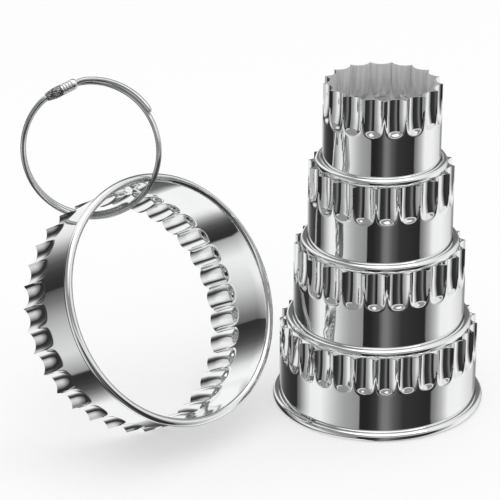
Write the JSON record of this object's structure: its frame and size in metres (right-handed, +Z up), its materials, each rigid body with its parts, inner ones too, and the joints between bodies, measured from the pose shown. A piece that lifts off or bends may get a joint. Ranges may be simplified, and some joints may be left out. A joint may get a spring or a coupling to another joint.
{
  "type": "fluted pastry cutter set",
  "caption": "Nested round fluted pastry cutters in polished steel, stacked as a tower with the largest leaning beside it on its edge and a sprung wire storage ring threaded through.",
  "frame": {"origin": "on the table, under the middle of the whole set's box", "axes": "+Z up; +X to the right, from the leaning cutter towards the tower; +Y away from the person who looks at the set"},
  "size_m": [0.1622, 0.1052, 0.1189],
  "materials": {
    "cutter_steel": "mirror polished sheet steel",
    "wire": "bright drawn wire",
    "sleeve": "bright plated",
    "nut": "dark knurled"
  },
  "bodies": {
    "large": {"large_cutter": "cutter_steel"},
    "middle": {"middle_cutter": "cutter_steel"},
    "small": {"small_cutter": "cutter_steel"},
    "smallest": {"smallest_cutter": "cutter_steel"},
    "largest": {"largest_cutter": "cutter_steel"},
    "ring": {"ring_wire": "wire", "clasp_sleeve": "sleeve"},
    "nut": {"clasp_nut": "nut"}
  },
  "joints": [
    {"name": "middle_lift", "type": "slide", "parent": "large", "child": "middle", "axis": [0, 0, 1], "range_m": [0, 0.06]},
    {"name": "small_lift", "type": "slide", "parent": "middle", "child": "small", "axis": [0, 0, 1], "range_m": [0, 0.06]},
    {"name": "smallest_lift", "type": "slide", "parent": "small", "child": "smallest", "axis": [0, 0, 1], "range_m": [0, 0.06]},
    {"name": "largest_lift", "type": "slide", "parent": "large", "child": "largest", "axis": [0, 0, 1], "range_m": [0, 0.06]},
    {"name": "ring_travel", "type": "hinge", "parent": "largest", "child": "ring", "pos_m": [-0.0261, -0.0169, 0.05097], "axis": [0.6556, -0.5699, 0.4955], "range_deg": [-60, 100]},
    {"name": "nut_turn", "type": "hinge", "parent": "ring", "child": "nut", "pos_m": [-0.06676, 0.01645, 0.11357], "axis": [0.8512, 0.4042, 0.3349], "continuous": true}
  ]
}
